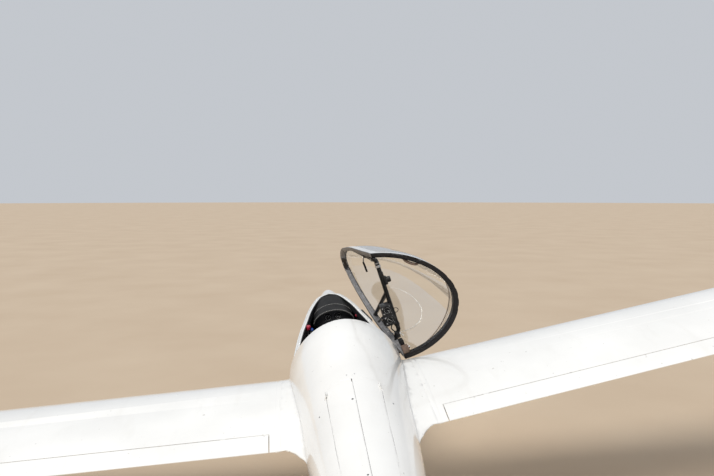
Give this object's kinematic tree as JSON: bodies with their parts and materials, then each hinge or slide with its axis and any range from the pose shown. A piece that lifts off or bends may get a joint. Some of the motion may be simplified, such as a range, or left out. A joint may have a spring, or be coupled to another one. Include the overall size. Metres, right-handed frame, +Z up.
{
  "type": "two-seat sailplane glider with folded engine",
  "caption": "Long-winged white two-seat sailplane with a T-tail, parked on its wheels with one wing tip down and its canopy swung open.",
  "frame": {"origin": "centre of the box around the parked glider, on the ground it stands on", "axes": "+X to the right wing, level with the ground; +Y towards the nose; +Z up"},
  "size_m": [19.657, 8.6292, 3.3586],
  "materials": {
    "gelcoat": "glossy white gelcoat over composite skins",
    "tip_paint": "white winglet with a red painted tip",
    "skid": "scuffed hard plastic rub plate",
    "alloy": "machined alloy",
    "steel": "grey coated steel",
    "tyre": "black tyre rubber",
    "engine_block": "folded engine as one plain block",
    "canopy_glass": "clear acrylic",
    "canopy_seal": "black canopy frame with a rubber edge",
    "black_composite": "black painted composite",
    "upholstery": "black stitched upholstery"
  },
  "bodies": {
    "airframe": {"wing_right": "gelcoat", "wing_left": "gelcoat", "winglet_right": "tip_paint", "winglet_left": "tip_paint", "tip_skid_right": "skid", "tip_skid_left": "skid", "fuselage": "gelcoat", "tail_boom": "gelcoat", "tailplane": "gelcoat", "engine": "engine_block", "front_seat": "black_composite", "front_cushion": "upholstery", "front_headrest": "upholstery", "front_stick": "black_composite", "rear_seat": "black_composite", "rear_cushion": "upholstery", "rear_headrest": "upholstery", "rear_stick": "black_composite", "console_right": "black_composite", "console_left": "black_composite", "instrument_panel": "black_composite", "panel_hood": "upholstery", "canopy_hinge_1": "black_composite", "canopy_hinge_2": "black_composite", "main_axle": "steel", "main_gear_leg": "steel", "tail_axle": "steel", "gear_door_right": "gelcoat", "gear_door_left": "gelcoat", "tow_hook": "steel"},
    "canopy": {"canopy_frame": "canopy_seal", "canopy_glass": "canopy_glass", "canopy_brace": "black_composite", "rear_panel": "black_composite"},
    "main_wheel": {"main_tyre": "tyre", "main_rim": "alloy"},
    "tail_wheel": {"tail_tyre": "tyre", "tail_rim": "alloy"},
    "rudder": {"rudder": "gelcoat"},
    "elevator": {"elevator": "gelcoat"},
    "flap_right": {"flap_right": "gelcoat"},
    "flap_left": {"flap_left": "gelcoat"},
    "aileron_right": {"aileron_right": "gelcoat"},
    "aileron_left": {"aileron_left": "gelcoat"},
    "airbrake_upper_right": {"airbrake_upper_right": "gelcoat"},
    "airbrake_upper_left": {"airbrake_upper_left": "gelcoat"},
    "airbrake_lower_right": {"airbrake_lower_right": "alloy"},
    "airbrake_lower_left": {"airbrake_lower_left": "alloy"},
    "engine_door_right": {"engine_door_right": "gelcoat"},
    "engine_door_left": {"engine_door_left": "gelcoat"}
  },
  "joints": [
    {"name": "canopy_swing", "type": "hinge", "parent": "airframe", "child": "canopy", "pos_m": [0.521, 1.3263, 0.9405], "axis": [0.0569, -0.9964, -0.0622], "range_deg": [0, 80]},
    {"name": "rudder_turn", "type": "hinge", "parent": "airframe", "child": "rudder", "pos_m": [0.2272, -3.9007, 0.3398], "axis": [-0.1455, -0.15, 0.9779], "range_deg": [-30, 30]},
    {"name": "elevator_turn", "type": "hinge", "parent": "airframe", "child": "elevator", "pos_m": [0.0239, -4.0069, 1.7068], "axis": [0.9891, 0, 0.1471], "range_deg": [-22, 20]},
    {"name": "flap_right_turn", "type": "hinge", "parent": "airframe", "child": "flap_right", "pos_m": [0.6079, 0.5683, 0.9072], "axis": [0.9781, 0.0262, 0.2063], "range_deg": [-8, 18]},
    {"name": "flap_left_turn", "type": "hinge", "parent": "airframe", "child": "flap_left", "pos_m": [-0.3021, 0.5683, 0.7718], "axis": [0.9958, -0.0262, 0.0873], "range_deg": [-8, 18]},
    {"name": "aileron_right_turn", "type": "hinge", "parent": "airframe", "child": "aileron_right", "pos_m": [5.0582, 0.6876, 1.846], "axis": [0.973, 0.0425, 0.2269], "range_deg": [-16, 16]},
    {"name": "aileron_left_turn", "type": "hinge", "parent": "airframe", "child": "aileron_left", "pos_m": [-4.833, 0.6876, 0.3748], "axis": [0.9969, -0.0425, 0.0661], "range_deg": [-16, 16]},
    {"name": "airbrake_upper_right_lift", "type": "slide", "parent": "airframe", "child": "airbrake_upper_right", "axis": [-0.1468, -0.0699, 0.9867], "range_m": [0, 0.106]},
    {"name": "airbrake_upper_left_lift", "type": "slide", "parent": "airframe", "child": "airbrake_upper_left", "axis": [-0.1468, -0.0699, 0.9867], "range_m": [0, 0.106]},
    {"name": "airbrake_lower_right_lift", "type": "slide", "parent": "airframe", "child": "airbrake_lower_right", "axis": [-0.1468, -0.0699, 0.9867], "range_m": [0, 0.053]},
    {"name": "airbrake_lower_left_lift", "type": "slide", "parent": "airframe", "child": "airbrake_lower_left", "axis": [-0.1468, -0.0699, 0.9867], "range_m": [0, 0.053]},
    {"name": "engine_door_right_swing", "type": "hinge", "parent": "airframe", "child": "engine_door_right", "pos_m": [0.2508, -0.8316, 0.8303], "axis": [0.0019, 0.98, 0.1989], "range_deg": [0, 85]},
    {"name": "engine_door_left_swing", "type": "hinge", "parent": "airframe", "child": "engine_door_left", "pos_m": [0.0619, -0.8316, 0.8022], "axis": [0.0597, -0.98, -0.1898], "range_deg": [0, 85]},
    {"name": "main_wheel_roll", "type": "hinge", "parent": "airframe", "child": "main_wheel", "pos_m": [0.2495, 1.3555, 0.1899], "axis": [0.9891, 0, 0.1471], "continuous": true},
    {"name": "tail_wheel_roll", "type": "hinge", "parent": "airframe", "child": "tail_wheel", "pos_m": [0.262, -3.6909, 0.1054], "axis": [0.9891, 0, 0.1471], "continuous": true}
  ],
  "couplings": [
    {"joint": "flap_left_turn", "follows": "flap_right_turn", "ratio": 1},
    {"joint": "aileron_left_turn", "follows": "aileron_right_turn", "ratio": -1},
    {"joint": "airbrake_upper_left_lift", "follows": "airbrake_upper_right_lift", "ratio": 1},
    {"joint": "airbrake_lower_right_lift", "follows": "airbrake_upper_right_lift", "ratio": 0.5},
    {"joint": "airbrake_lower_left_lift", "follows": "airbrake_upper_right_lift", "ratio": 0.5},
    {"joint": "engine_door_left_swing", "follows": "engine_door_right_swing", "ratio": 1}
  ]
}
